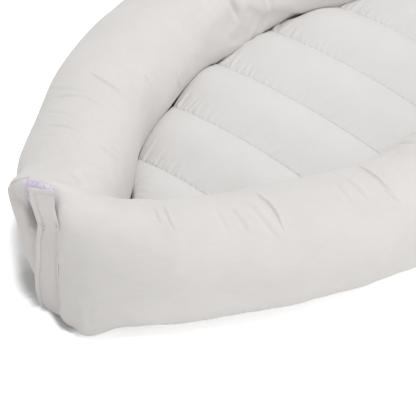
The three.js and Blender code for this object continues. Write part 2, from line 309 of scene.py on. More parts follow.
angle = np.linspace(-math.pi / 2, 1.5 * math.pi, FINE_SECTION)
rings = []
for i in range(ALONG):
    points = section(ring_outer[i], ring_inner[i], ring_fan[i], ring_blend[i], angle)
    rings.append(at_lengths(points, np.linspace(0, lengths_along(points)[-1], AROUND + 1)[:-1]))
grid = np.array(rings)
print("bolster grid:", grid.shape)

# %% [markdown]
# A stuffed nose isn't as regular as its pattern. It leans to the left as it rises, its left side
# is drawn in low down and has an ear near the top, and its right bottom corner pokes forward.
# Each of these is one smooth push of the grid, because sculpting by hand couldn't be repeated.

# %% Shape of the tip
LEAN_FROM, LEAN = 8, 0.24
ARM_TAKE_IN, FOOT_TAKE_IN, EAR_OUT, CORNER_POKE, STRIP_POKE = 3.5, 15.5, 3, 4, 3.5
x, y, z = (grid[..., i] for i in range(3))
x += fall(12, 62, y) * (LEAN_FROM - LEAN * z)
left = fall(-40, 10, x)
x += left * (ARM_TAKE_IN * bell(y, 140, 40) - bell(y, 70, 22))
x += FOOT_TAKE_IN * left * fall(66, 116, z) * fall(20, 90, y)
x -= EAR_OUT * bell(z, 112, 12) * left * fall(20, 44, y)
y -= CORNER_POKE * np.exp(-((x - 33) ** 2 + (y - 12) ** 2) / 13 ** 2) * fall(2, 32, z)
y -= STRIP_POKE * bell(x, 11, 9) * fall(6, 50, z) * fall(16, 40, y)
# The right arm is slack on the inside of its top: it sinks and rolls out above the nest's foot.
CORNER_SLACK, ARM_SLACK, ROLL_X, ROLL_Y = 3.8, 2.2, 0.79, 0.61
around = np.arange(AROUND) / AROUND
slack = CORNER_SLACK * bell(y, 92, 32) + ARM_SLACK * bell(y, 150, 36)
slack *= smoothstep(0.46, 0.58, around) * fall(0.66, 0.80, around) * smoothstep(-14, 8, x)
x += ROLL_X * slack
y -= ROLL_Y * slack
z -= slack
print("tip reaches up to mm:", round(z.max(), 1))

# %% [markdown]
# The cover opens at the nose. The seam draws the cloth in behind the strip, and to the left of
# the strip the mouth gapes as a dark hollow. It is pressed into the same grid, so it has no edge.

# %% Mouth of the cover
SEAM_DEPTH, SEAM_FOOT, SEAM_HEAD = 5, 2, 1.8
HOLLOW_DEPTH, HOLLOW_X, HOLLOW_Z, HOLLOW_TURN = 30, -26, 111, math.radians(14)
LEFT_HALF, RIGHT_HALF, TALL, BACK, ASIDE = 7, 5.5, 16, 0.85, 0.55
front = fall(12, 34, y)
seam = SEAM_DEPTH * bell(x, -13, np.where(x < -13, 12, 8))
seam += SEAM_FOOT * bell(x, -8, 11) * fall(4, 34, z)
seam -= SEAM_HEAD * bell(x, 6, 11) * smoothstep(70, 110, z)
turn_x, turn_z = math.cos(HOLLOW_TURN), math.sin(HOLLOW_TURN)
aside = (x - HOLLOW_X) * turn_x + (z - HOLLOW_Z) * turn_z
upwards = (z - HOLLOW_Z) * turn_x - (x - HOLLOW_X) * turn_z
hollow_width = np.where(aside < 0, LEFT_HALF, RIGHT_HALF)
hollow = HOLLOW_DEPTH * np.exp(-(aside / hollow_width) ** 2 - (upwards / TALL) ** 4)
x -= front * hollow * ASIDE
y += front * (seam + hollow * BACK)
y -= LENGTH / 2
grid *= MM


def tube_normals(grid):
    along, round_it = (np.roll(grid, -1, i) - np.roll(grid, 1, i) for i in (0, 1))
    normal = unit(np.cross(along, round_it))
    return normal * np.sign((normal * (grid - grid.mean(1, keepdims=True))).sum())


print("mouth is", round(float((front * hollow).max())), "mm deep")

# %% [markdown]
# Real cloth puckers where a stuffed tube bends. A short cloth simulation finds those puckers: the
# tube is a little too large for its filling and is blown up for a few frames. Only the small
# wrinkles are kept, because the tube's overall shape has to stay that of the solid.

# %% Puckers from a cloth simulation
SIM_FRAMES, SIM_CAP, SIM_STEP, HELD_BELOW = 14, 4.0, 4, 0.004
PRESSURE, GROWTH, BENDING, QUALITY = 4, -0.04, 0.6, 5
WAVES_LOW, WAVES_HIGH, FRONT_SHARE = 14, 140, 0.25


def simulate(coarse):
    piece = add_mesh("sim_cloth", coarse, tube_faces(*coarse.shape[:2]))
    held = piece.vertex_groups.new(name="held")
    low = np.where(coarse.reshape(-1, 3)[:, 2] < HELD_BELOW)[0]
    held.add(low.tolist(), 1, "REPLACE")
    cloth = piece.modifiers.new("cloth", "CLOTH")
    cloth.point_cache.frame_end = SIM_FRAMES
    settings = cloth.settings
    settings.vertex_group_mass, settings.use_pressure = "held", True
    settings.uniform_pressure_force, settings.shrink_min = PRESSURE, GROWTH
    settings.bending_stiffness, settings.quality = BENDING, QUALITY
    settings.effector_weights.gravity = 0
    for number in range(1, SIM_FRAMES + 1):
        bpy.context.scene.frame_set(number)
    moved = np.zeros(coarse.size, np.float32)
    shaped = piece.evaluated_get(bpy.context.evaluated_depsgraph_get())
    shaped.data.vertices.foreach_get("co", moved)
    moved = moved.reshape(coarse.shape) - coarse
    bpy.data.objects.remove(piece)
    bpy.context.scene.frame_set(1)
    return moved


def band(values, low, high):
    """Keeps a closed grid's waves between low and high counts along it."""
    waves = np.fft.fft2(values, axes=(0, 1))
    rows, columns = (np.abs(np.fft.fftfreq(n) * n) for n in values.shape[:2])
    rows, columns = rows[:, None, None], columns[None, :, None]
    keep = np.clip(smoothstep(low * 0.6, low, rows) + smoothstep(3, 6, columns), 0, 1)
    keep = keep * fall(high * 0.8, high, rows) * fall(22, 28, columns)
    return np.fft.ifft2(waves * keep, axes=(0, 1)).real


def enlarge(values, shape):
    """Brings a coarse closed grid up to the fine grid's size."""
    waves = np.fft.fft2(values, axes=(0, 1))
    big = np.zeros((*shape, values.shape[2]), complex)
    rows, columns = (np.fft.fftfreq(n) * n for n in values.shape[:2])
    big[np.ix_(rows.astype(int), columns.astype(int))] = waves
    return np.fft.ifft2(big, axes=(0, 1)).real * (big.size / values.size)


puckers = band(simulate(grid[::SIM_STEP, ::SIM_STEP]), WAVES_LOW, WAVES_HIGH)
size = norm(puckers, axis=2, keepdims=True)
puckers *= np.tanh(size / (SIM_CAP * MM)) * SIM_CAP * MM / np.maximum(size, 1e-9)
fine_puckers = enlarge(puckers, grid.shape[:2])
unseen = smoothstep(-60, 40, grid[..., 1] / MM)[..., None]
calm_foot = smoothstep(2, 16, grid[..., 2] / MM)[..., None]
grid += fine_puckers * (FRONT_SHARE + (1 - FRONT_SHARE) * unseen) * calm_foot
print("puckers up to mm:", round(float(norm(fine_puckers, axis=2).max()) / MM, 1))

# %% [markdown]
# The larger folds are put where they lie on the real lounger. Each is drawn as a few points in
# the picture, and a line of sight through each point finds its place on the bolster.

# %% Lines of sight
FOCAL = LENS / SENSOR * PICTURE
cover_faces = tube_faces(ALONG, AROUND)
tree = BVHTree.FromPolygons(grid.reshape(-1, 3).tolist(), cover_faces)


def sight(across, down):
    aside, under = (across - PICTURE / 2) / FOCAL, (down - PICTURE / 2) / FOCAL
    return (look + rightward * aside - upward * under).normalized()


def on_plane(across, down, depth):
    """Point on a line of sight, as many millimetres along the lounger from its very front."""
    ray = sight(across, down)
    return np.array(EYE + ray * (((depth - LENGTH / 2) * MM - EYE.y) / ray.y))


def seen_on(surface, marks):
    hits = (surface.ray_cast(EYE, sight(*mark))[0] for mark in marks)
    return [np.array(hit) for hit in hits if hit is not None]


print("a line of sight meets the tip at", seen_on(tree, [(75, 250)])[0].round(3))


# %% Press one fold
def press_fold(points, normals, path, depth, width, side=-1, ridge=0.7, fade=(0.3, 0.4)):
    """A crease along a path, with a ridge that the stuffing pushes up. Its d counts in widths."""
    reach = 6 * width * MM
    inside = (points > path.min(0) - reach) & (points < path.max(0) + reach)
    near = np.where(inside.all(1))[0]
    gaps = norm(points[near, None] - path[None], axis=2)
    near, gaps = near[gaps.min(1) < reach], gaps[gaps.min(1) < reach]
    closest = gaps.argmin(1)
    away = points[near] - path[closest]
    along = unit(np.gradient(path, axis=0)[closest])
    across = unit(np.cross(along, normals[near]))
    d = (away * across).sum(1) / (width * MM)
    past_end = np.abs((away * along).sum(1)) / (width * MM)
    t = closest / (len(path) - 1)
    hold = smoothstep(0, fade[0], t) * fall(1 - fade[1], 1, t) * np.exp(-past_end ** 2)
    facing = np.clip((normals[near] @ normals[near[gaps.min(1).argmin()]]) * 2, 0, 1)
    shape = ridge * bell(d, side * 1.2, 1.4) - bell(d, side * -1.1, 1)
    shape += 0.25 * ridge * bell(d, side * -3.3, 1.3)
    points[near] += normals[near] * (shape * hold * facing * depth * MM)[:, None]


# %% Folds seen in the picture
# Each line: points in the picture, depth and width in millimetres, and 1 where the ridge changes side.
FOLDS = [
    ([(86, 71), (97, 77), (107, 83), (118, 91), (129, 99)], 1.5, 1.0),
    ([(48, 90), (63, 88), (78, 90), (95, 97)], 0.5, 2.0),
    ([(48, 100), (63, 96), (85, 97), (100, 105), (114, 119), (128, 138)], 1.0, 1.9),
    ([(43, 113), (60, 112), (78, 117)], 0.5, 1.9),
    ([(30, 132), (45, 127), (62, 125), (82, 133)], 0.9, 1.8),
    ([(38, 136), (52, 134), (66, 135)], 0.4, 1.8),
    ([(92, 139), (106, 150), (120, 166)], 1.3, 1.7),
    ([(103, 138), (114, 148), (123, 158)], 0.9, 1.6),
    ([(140, 70), (149, 82), (155, 96)], 1.0, 1.4),
    ([(177, 72), (179, 82), (179, 92)], 1.0, 1.2),
    ([(66, 171), (76, 179), (87, 190)], 0.8, 1.6),
    ([(78, 168), (90, 178), (102, 192)], 0.8, 1.6),
    ([(92, 170), (102, 180), (112, 193)], 0.6, 1.6),
    ([(242, 187), (252, 191.5), (262, 197.8), (270, 204.3), (276, 212), (280, 221), (286, 238)],
     2.0, 0.9),
    ([(238, 198), (252, 206), (268, 224), (288, 248)], 0.7, 2.2),
    ([(228, 205), (240, 217), (253, 238)], 0.6, 2.0),
    ([(214, 206), (224, 220), (232, 238)], 0.5, 2.0),
    ([(162, 203), (166, 211), (170, 221), (179, 238)], 1.1, 1.1),
    ([(153, 206), (158, 216), (163, 226)], 0.8, 1.5),
    ([(354, 165), (366, 170), (375, 176), (386, 187), (401, 200)], 1.9, 0.95),
    ([(344, 177), (358, 188), (371, 203)], 0.9, 1.9),
    ([(333, 181), (346, 194), (356, 208)], 0.6, 1.9),
    ([(374, 178), (388, 192), (404, 206)], 1.0, 1.6),
    ([(384, 157), (396, 153), (410, 152)], 1.3, 1.7),
    ([(12, 199), (19, 202), (27, 206), (34, 214)], 2.6, 2.4, 1),
]
points, normals = grid.reshape(-1, 3).copy(), tube_normals(grid).reshape(-1, 3)
for marks, *fold in FOLDS:
    press_fold(points, normals, smooth_path(seen_on(tree, marks), 80), *fold)
# A plain groove, where the cover tucks in above the closure's left-hand layer.
tuck = smooth_path(seen_on(tree, [(8.5, 188), (9.4, 186), (15, 181.3), (25, 178), (31, 176)]), 80)
press_fold(points, normals, tuck, 3.6, 1.3, side=0, ridge=0, fade=(0.05, 0.2))
print("folds seen:", len(FOLDS) + 1)

# %% [markdown]
# The picture shows only the front half. Round the head the same cloth is bent as tightly, so it
# gets folds of the same kind: across the tube, strongest on its inner side, unevenly spaced.

# %% Folds round the head
chance = np.random.default_rng(11)
HEAD_FOLDS, HEAD_START, HEAD_SPAN = 34, 0.46, 1.08
for k in range(HEAD_FOLDS):
    share = HEAD_START + HEAD_SPAN * (k + chance.uniform(-0.35, 0.35)) / HEAD_FOLDS
    station = np.searchsorted(round_trip, HALF_RING * share)
    start = int(AROUND * chance.uniform(0.52, 0.62))
    steps = np.arange(int(AROUND * chance.uniform(0.10, 0.20)))
    drift = (steps / len(steps) * chance.uniform(-9, 9)).astype(int)
    path = smooth_path(grid[(station + drift) % ALONG, (start + steps) % AROUND], 60)
    side = chance.choice((-1, 1))
    depth, width = chance.uniform(0.8, 2.6), chance.uniform(2.6, 4.5)
    press_fold(points, normals, path, depth, width, side, fade=(0.35, 0.45))
grid = points.reshape(grid.shape)
print("folds round the head:", HEAD_FOLDS)

# %% [markdown]
# The cover is now one closed mesh. Its UV map is in metres along and round the tube, so that a
# weave keeps its true size all over. The insert is the same tube, a little smaller, inside it.

# %% Cover and insert
INSET = 3.5
weave_u = np.repeat(round_trip[:, None] * MM, AROUND, 1)
round_it = np.cumsum(norm(np.diff(grid, axis=1), axis=2), 1)
weave = np.stack([weave_u, np.concatenate([np.zeros((ALONG, 1)), round_it], 1)], -1)
cover = add_mesh("bolster_cover_cloth", grid, cover_faces, weave)
dress(cover, "lounger", "cover_cotton", "bolster_cover")
skin = BVHTree.FromPolygons(grid.reshape(-1, 3).tolist(), cover_faces)
sparse = np.s_[::5, ::4]
inset = (grid - tube_normals(grid) * INSET * MM)[sparse]
insert = add_mesh("bolster_insert", inset, tube_faces(*inset.shape[:2]), weave[sparse])
dress(insert, "lounger", "inner_cotton", "insert_casing", "insert_fill")

# %% [markdown]
# The lying surface is two sheets of cotton with wadding between them, sewn through in straight
# lines, and it puffs up between the lines. A formula keeps the channels straighter than a
# simulation would. The outline follows the bolster's inner wall, and the rim is pressed into it.

# %% Outline of the quilt
PITCH, FIRST_LINE, LINE_COUNT = 86, 200.7, 5
WALL_HEIGHT, PRESSED_IN, PRESSED_MORE = 46, 1.5, 1.2


def wall_line(rings):
    """Plan of the bolster's inner wall at the quilt's height, from the tip to the head."""
    line = []
    for ring in rings[:ALONG // 2 + 1] / MM:
        side = ring[AROUND // 2:]
        k = int(np.argmax(side[:, 2] < WALL_HEIGHT))
        share = (side[k - 1, 2] - WALL_HEIGHT) / (side[k - 1, 2] - side[k, 2])
        line.append(side[k - 1] + (side[k] - side[k - 1]) * share)
    line = np.array(line)
    return line[np.argsort(line[:, 1])]


wall_right, wall_left = wall_line(grid), wall_line(np.roll(grid[::-1], 1, axis=0))
pad_low, pad_high = wall_right[0, 1] + 6, wall_right[-1, 1] - 1
lines = FIRST_LINE - LENGTH / 2 + PITCH * np.arange(LINE_COUNT)
print("quilt runs from y", round(pad_low), "to", round(pad_high), "mm")

# %% Puffed channels
ROWS_A_CHANNEL, COLUMNS = 54, 200
PUFF, EDGE_HEIGHT, CROWN, CROWN_SPAN, LAYERS = 12, 28, 9.5, 90, 2.8
FOOT_DROP, CORNER_TUCK = 6, 10
ends = np.concatenate([[pad_low], lines, [pad_high]])
channels = len(ends) - 1
t = np.linspace(0, 1, ROWS_A_CHANNEL + 1)[:-1]
share = 0.3 * t + 0.7 * (0.5 - 0.5 * np.cos(math.pi * t))
rows_y = [ends[i] + (ends[i + 1] - ends[i]) * share for i in range(channels)]
rows_y = np.concatenate(rows_y + [[pad_high]])
row_share = np.concatenate([share] * channels + [[1.0]])
right_x = np.interp(rows_y, wall_right[:, 1], wall_right[:, 0]) + PRESSED_IN
left_x = np.interp(rows_y, wall_left[:, 1], wall_left[:, 0]) - PRESSED_IN - PRESSED_MORE
middle_x, half_x = (right_x + left_x) / 2, (right_x - left_x) / 2
place = np.linspace(-1, 1, COLUMNS)[None] * np.ones((len(rows_y), 1))
qx = middle_x[:, None] + place * half_x[:, None]
qy = rows_y[:, None] * np.ones((1, COLUMNS))
base_z = EDGE_HEIGHT + CROWN * (1 - place ** 2) * np.minimum(1, half_x / CROWN_SPAN)[:, None]
puff = np.maximum(0, np.sin(math.pi * row_share ** 1.3)) ** 0.75
from_wall = half_x[:, None] * (1 - np.abs(place))
dip = (0.08 + 0.22 * smoothstep(250, 300, qy + LENGTH / 2)) * np.exp(-from_wall / 4)
dip += 0.2 * (place < 0) * np.exp(-from_wall / 12)
qz = base_z + LAYERS + PUFF * puff[:, None] * (1 - dip)
qz -= FOOT_DROP * bell(qy, pad_low, 8)
# The pucker in the inside corner, where both arms press on the quilt.
qz -= CORNER_TUCK * bell(from_wall, 0, 3.5) * bell(qy, -224, 8) * (place < 0)
print("channels puff up to mm:", round(float(qz.max()), 1))

# %% [markdown]
# At each stitch line the spare cloth gathers into short wrinkles square to the stitches. They are
# longest on the far side of the line and near its left end, and they fade out to the right. Each
# wrinkle is one narrow ridge with a groove beside it.

# %% Gathers along the stitch lines
chance = np.random.default_rng(5)
STRENGTH, STRENGTH_LEFT, LONGER_LEFT, LEFT_SPAN = 0.5, 1.4, 11, 50
gathers = 0
for line in lines:
    start, stop = (
        float(np.interp(line, wall[:, 1], wall[:, 0])) for wall in (wall_left, wall_right))
    beyond, at = qy - line, start + 2
    while at < stop:
        near_left = math.exp(-(at - start) / LEFT_SPAN)
        strength = STRENGTH + STRENGTH_LEFT * near_left
        length = chance.uniform(5, 9) + LONGER_LEFT * near_left * chance.uniform(0.5, 1.2)
        width, lean = chance.uniform(1.1, 2.2), chance.uniform(-0.35, 0.2)
        d = (qx - at - lean * beyond) / width
        near_side = 0.35 * np.exp(beyond / 3.5) * (beyond < 0)
        far_side = smoothstep(-0.5, 2.5, beyond) * bell(np.maximum(beyond, 0), 0, length)
        ridge = bell(d, 0, 1) - 0.8 * bell(d, 1.7, 1)
        reach = far_side * (beyond >= 0) + near_side
        qz += strength * chance.uniform(0.6, 1.2) * ridge * reach
        at += chance.uniform(3.2, 7.5)
        gathers += 1
    # The stitches pull the line itself down, and the cloth in front of it rolls up.
    right_half = smoothstep(start + 0.5 * (stop - start), stop, qx)
    qz -= (1.2 + 1.3 * right_half) * bell(beyond, 0, 0.8)
    qz += 0.9 * bell(beyond, -2.4, 1.3)
print("gathers:", gathers)

# %% Wrinkles in the first channel
quilt_face = np.stack([qx, qy, qz], -1) * MM
quilt_faces = grid_faces(*qx.shape).tolist()
quilt_skin = BVHTree.FromPolygons(quilt_face.reshape(-1, 3).tolist(), quilt_faces)
WRINKLES = [
    ([(134, 186), (140, 181), (149, 179), (158, 181)], 1.0, 1.5, 1),
    ([(134, 190), (140, 187), (148, 187), (155, 190)], 1.0, 1.4, 1),
    ([(134, 195), (140, 193), (147, 195)], 0.8, 1.3, 1),
    ([(141, 168), (149, 166), (158, 169)], 0.6, 1.6, 1),
]
points, normals = quilt_face.reshape(-1, 3).copy(), layer_normals(quilt_face).reshape(-1, 3)
for marks, *fold in WRINKLES:
    press_fold(points, normals, smooth_path(seen_on(quilt_skin, marks), 50), *fold)
quilt_face = points.reshape(quilt_face.shape)
print("wrinkles:", len(WRINKLES))

# %% [markdown]
# Under the quilted cotton lie a roll of wadding in each channel, a thin lining and the mattress
# pad. Each is made from the quilt's grid, a little narrower and at its own height, so that no
# layer can poke through the next.


# %% Quilt, lining, pad and wadding
def at_height(z, cut, narrower=1.0):
    return np.stack([(qx * narrower)[cut], qy[cut], (z + 0 * qx)[cut]], -1) * MM


sparse = np.s_[::3, ::3]
lining_z = base_z + 1.3
quilt_back = quilt_face - (0, 0, 1.0 * MM)
quilt = add_layer("quilt_cloth", quilt_face, quilt_back, np.stack([qx, qy], -1) * MM)
dress(quilt, "lounger", "quilt_cotton", "quilt_top")
lining_face, lining_back = (at_height(z, sparse, 0.99) for z in (lining_z, lining_z - 0.8))
lining = add_layer("quilt_lining_cloth", lining_face, lining_back)
dress(lining, "lounger", "inner_cotton", "quilt_lining")
pad_face, pad_back = (at_height(z, sparse, 0.98) for z in (base_z, SEAT))
pad = add_layer("mattress_pad_foam", pad_face, pad_back)
dress(pad, "lounger", "polyester_fibre", "mattress_pad")
roll_z = np.maximum(qz - LAYERS, lining_z + 0.8)
for k in range(channels):
    rows = slice(k * ROWS_A_CHANNEL + 6, (k + 1) * ROWS_A_CHANNEL - 4, 2)
    roll_face, roll_back = (at_height(z, (rows, slice(4, -4, 4))) for z in (roll_z, lining_z + 0.4))
    roll = add_layer(f"wadding_{k + 1}", roll_face, roll_back)
    dress(roll, "lounger", "polyester_fibre", f"channel_fill_{k + 1}")

# %% [markdown]
# Stitches are real thread: short rounded dashes a few millimetres long. One dash is a small
# closed mesh, and a row repeats it along a path, so that it catches the light as thread does. A
# bump in the cloth's material would be lost from the side.

# %% Rows of stitches
STITCH, THREAD, RINGS, SIDES = 3.0, 0.55, 4, 6


def stitch_row(name, paths, body, slot, long=STITCH, thick=THREAD, pitch=1.35):
    points, faces = [], []
    for path in paths:
        path = np.asarray(path, float)
        last = lengths_along(path)[-1] - long * MM
        for start in np.arange(0.2 * long * MM, last, long * pitch * MM):
            a, b = at_lengths(path, [start, start + long * MM])
            along = Vector(b - a).normalized()
            u = along.orthogonal().normalized()
            v = along.cross(u)
            base = len(points)
            points.append(a)
            for r in range(RINGS):
                share = (r + 0.5) / RINGS
                radius = 0.5 * thick * MM * math.sin(math.pi * share) ** 0.5
                for s in range(SIDES):
                    turn = 2 * math.pi * s / SIDES
                    spoke = np.array(u * math.cos(turn) + v * math.sin(turn))
                    points.append(a + (b - a) * share + spoke * radius)
            points.append(b)
            end = len(points) - 1
            for s in range(SIDES):
                n = (s + 1) % SIDES
                faces.append((base, base + 1 + n, base + 1 + s))
                faces.append((end, end - SIDES + s, end - SIDES + n))
                for r in range(RINGS - 1):
                    k = base + 1 + r * SIDES
                    faces.append((k + s, k + n, k + SIDES + n, k + SIDES + s))
    return dress(add_mesh(name, points, faces), body, slot)


stitched_rows = [int(np.argmin(np.abs(rows_y - line))) for line in lines]
quilt_rows = [quilt_face[row, 3:-3] + (0, 0, 0.25 * MM) for row in stitched_rows]
quilting = stitch_row("quilting_thread", quilt_rows, "lounger", "quilt_cotton")

# %% [markdown]
# The closure has four layers, one behind the other: the flap, the hook tape on its back, the loop
# tape and the underlap. The underlap is the cover's own left edge, so it is cut out of the
# bolster's grid and lifted by its thickness.

# %% Underlap on the left of the mouth
LEFT_END, BOTTOM, LIFT, CLOTH = 66, 6, 0.9, 0.8
# The underlap's height as a share of the tip's, at places across the tip in mm.
ACROSS_TIP = (-95, -84, -75, -71, -68, -62, -58)
TOP_EDGE = (0.5, 0.75, 0.845, 0.888, 0.914, 0.95, 0.968)
ROWS, ACROSS = 130, 90
first = ALONG - int(np.searchsorted(places, LEFT_END))
outside = tube_normals(grid)
lanes = []
for i in np.arange(first, ALONG + 40) % ALONG:
    low = np.argmax(grid[i, :, 2] > BOTTOM * MM)
    out = grid[i, :AROUND // 2]
    top = np.interp(out[:, 0] / MM, ACROSS_TIP, TOP_EDGE) * grid[i, :, 2].max()
    index = np.linspace(low, np.argmax(out[:, 2] > top), ROWS)
    lifted = grid[i] + outside[i] * LIFT * MM
    lanes.append(np.stack([np.interp(index, np.arange(AROUND), lifted[:, k]) for k in range(3)], 1))
lanes = np.array(lanes)
mouth_edge = smooth_path([on_plane(*mark, 6) for mark in (
    (48, 296), (44, 268), (41, 246), (39, 228), (40, 214), (38, 204), (37, 190), (37, 170))], 200)
underlap_face = np.zeros((ROWS, ACROSS, 3))
for r in range(ROWS):
    row = lanes[:, r]
    past = row[:, 0] > np.interp(row[:, 2], mouth_edge[:, 2], mouth_edge[:, 0])
    row = row[:int(np.argmax(past)) + 1] if past.any() else row
    underlap_face[r] = at_lengths(row, np.linspace(0, lengths_along(row)[-1], ACROSS))
for _ in range(4):
    middle = underlap_face[:-2] + 2 * underlap_face[1:-1] + underlap_face[2:]
    underlap_face[1:-1] = middle / 4
underlap_back = underlap_face - layer_normals(underlap_face) * CLOTH * MM
underlap = add_layer("closure_underlap_cloth", underlap_face, underlap_back)
dress(underlap, "lounger", "strip_cotton", "closure_underlap")

# %% [markdown]
# The flap and the two tapes are strips. Each is drawn by its two long edges, as points in the
# picture with a depth, and gets a face and a back. A Solidify modifier would give one thickness
# all over, but the flap's hem is thicker cloth, turned in and stitched.


# %% A strip between two edges
def edge_points(marks):
    return [on_plane(*mark, depth) for *mark, depth in marks]


def make_strip(name, left_edge, right_edge, thickness, hem=0.0, hem_width=4.0, fuzz=0.0, bead=0.0):
    """A strip between two edges. Its bead thickens the upper right one."""
    rows, columns = 170, 56
    a, b = smooth_path(left_edge, rows), smooth_path(right_edge, rows)
    w = np.linspace(0, 1, columns)[None, :, None]
    face = a[:, None] * (1 - w) + b[:, None] * w
    wide = norm(b - a, axis=1)[:, None] / MM
    from_left, from_right = w[..., 0] * wide, (1 - w[..., 0]) * wide
    from_top = (lengths_along(a)[-1] - lengths_along(a))[:, None] / MM
    from_hem = np.minimum(from_left, from_top)
    lift = thickness + hem * fall(hem_width - 0.9, hem_width, from_hem)
    lift -= 0.6 * hem * np.exp(-((from_hem - hem_width - 0.5) / 0.7) ** 2)
    lift += bead * bell(from_right, 0.8, 0.8) * smoothstep(64, 76, from_top)
    if fuzz:
        lift = lift + np.random.default_rng(3).normal(0, fuzz, lift.shape)
    raised = face + layer_normals(face) * (lift * MM)[..., None]
    return a, b, add_layer(name, raised, face)


# %% Flap and tapes
FLAP_LEFT = [
    (42.5, 305, 11), (40, 300, 7), (37, 288, 5), (36, 275, 3.5), (37, 255, 2.5), (36.5, 240, 2),
    (38, 230, 1.5), (39, 223, 0.5), (36.5, 217, -0.5), (32, 206, -2), (29.5, 196, -3),
    (28.5, 187, -3)]
FLAP_CORNER = [(63.5, 316.5, 9.5)]
FLAP_SEAM = [(60.5, 305), (59, 296), (58, 280), (58, 260), (58.5, 245)]
FLAP_TOP = [
    (59.5, 230, 7.6), (59.5, 226, 7.8), (57.5, 219, 9.7), (55, 209, 11.5), (54, 190.5, 12.8)]
LOOP_LEFT = [
    (43, 299, 10), (38.5, 285, 7.5), (37.5, 270, 6), (37, 252, 5), (36.2, 238, 4.5), (38, 224, 4),
    (37, 216, 3.5), (32.5, 207, 2.5), (27.8, 199, 1.5), (25.7, 192, 1), (25.5, 185, 3),
    (27.5, 177, 8)]
LOOP_RIGHT = [
    (53, 303, 12), (52.5, 285, 9.6), (52, 262, 9), (52, 240, 9), (53, 226, 9.5), (52, 207, 11),
    (52.5, 192, 13.5), (53, 187, 18)]
sewn = [point + (0, 0.8 * MM, 0) for point in seen_on(skin, FLAP_SEAM)]
flap_left, flap_right, flap = make_strip(
    "closure_flap_cloth", edge_points(FLAP_LEFT),
    edge_points(FLAP_CORNER) + sewn + edge_points(FLAP_TOP), thickness=1.1, hem=1.2, bead=0.5)
dress(flap, "sewn flap", "strip_cotton", "closure_flap")


def behind_flap(share):
    """A line on the flap's back, at a share of its width, that stops short of both ends."""
    line = flap_left + (flap_right - flap_left) * share + (0, 1.2 * MM, 0)
    return line[int(0.04 * len(line)):int(0.95 * len(line))]


hook_edges = behind_flap(0.13), behind_flap(0.74)
_, _, hook = make_strip("hook_tape_strip", *hook_edges, thickness=1.0, fuzz=0.12)
dress(hook, "flap", "hook_tape_nylon", "hook_tape")
loop_edges = edge_points(LOOP_LEFT), edge_points(LOOP_RIGHT)
_, _, loop = make_strip("loop_tape_strip", *loop_edges, thickness=1.1, fuzz=0.15, bead=0.3)
dress(loop, "lounger", "loop_tape_nylon", "loop_tape")

# %% [markdown]
# The base is one flat cloth under the whole lounger, a little inside the bolster's edge. A filled
# outline would be one face with hundreds of corners, so the base is built as rings of points
# from its rim to its middle, over its upper face and then over its lower one.

# %% Base cloth
BASE_INSET, BASE_CLOTH, BASE_RIM, BASE_RINGS = 36, 1.5, 0.6, 24
share = (BASE_INSET / norm(ring_inner - ring_outer, axis=1))[:, None]
rim = ((ring_outer + (ring_inner - ring_outer) * share)[::4] - (0, LENGTH / 2)) * MM
centre = np.array((0, rim[:, 1].mean()))
narrower = [centre + (rim - centre) * k for k in np.linspace(0.97, 0.03, BASE_RINGS)]
bands = np.concatenate([[rim * 1.0], narrower])
heights = np.concatenate([[BASE_RIM], np.full(BASE_RINGS, BASE_CLOTH)]) * MM
shell = np.concatenate([
    np.dstack([bands, np.repeat(heights[:, None], len(rim), 1)]),
    np.dstack([bands[::-1], np.zeros(bands.shape[:2])]),
])
index = np.arange(len(shell) * len(rim)).reshape(len(shell), len(rim))
after = np.roll(index, -1, 1)
faces = np.stack([index, after, np.roll(after, -1, 0), np.roll(index, -1, 0)], -1)
gap = len(bands) - 1
faces = np.delete(faces, gap, axis=0).reshape(-1, 4).tolist()
faces += [index[gap].tolist(), index[gap + 1][::-1].tolist()]
base = add_mesh("base_cloth", shell, faces, shell[..., :2])
dress(base, "lounger", "base_cotton", "base_panel")

# %% [markdown]
# One row of stitches holds the flap's hem, another its sewn edge, and a zigzag bar tack on each
# side takes the pull where the flap starts to open.

# %% Flap stitching
HEM_STITCHES, SEAM_STITCHES, PROUD = 3.6, 2.0, 1.45
across_flap = flap_right - flap_left
a_millimetre = across_flap * (MM / norm(across_flap, axis=1))[:, None]
forward = np.array((0, -PROUD * MM, 0))
hem_line = (flap_left + a_millimetre * HEM_STITCHES)[2:-5] + forward
seam_line = (flap_right - a_millimetre * SEAM_STITCHES)[2:-2] + forward
topstitch = stitch_row(
    "flap_topstitch", [hem_line, seam_line], "sewn flap", "strip_cotton", long=2.4, thick=0.5)
flap_skin = BVHTree.FromObject(flap, bpy.context.evaluated_depsgraph_get())
ZIGZAGS = [
    [(39.5, 222), (44.5, 225), (40.3, 224.5), (45, 227.5), (41, 227), (45.5, 230), (41.5, 229.5),
     (45.8, 232.5)],
    [(55, 221), (58.2, 225), (55.6, 223.5), (58.8, 227.5), (55.8, 226), (58.6, 230)],
]
tack_paths = []
for zigzag in ZIGZAGS:
    turns = [hit + np.array((0.3, -0.4, 0.2)) * MM for hit in seen_on(flap_skin, zigzag)]
    tack_paths += [np.array(pair) for pair in zip(turns, turns[1:])]
tacks = stitch_row(
    "flap_bar_tacks", tack_paths, "sewn flap", "strip_cotton", long=2.2, thick=0.6, pitch=1.05)

# %% [markdown]
# All the cloth is plain-woven cotton, so one recipe serves it: crossing threads, a few thicker
# slubs, a soft change of tone over a hand's width, and the faint sheen of loose fibre ends. Two
# wave textures are enough for a plain weave.


# %% Helpers for materials
def linear(code):
    """An sRGB colour, turned into the linear values that the shader takes."""
    parts = [int(code[i:i + 2], 16) / 255 for i in (1, 3, 5)]
    return (*(c / 12.92 if c <= 0.04045 else ((c + 0.055) / 1.055) ** 2.4 for c in parts), 1)


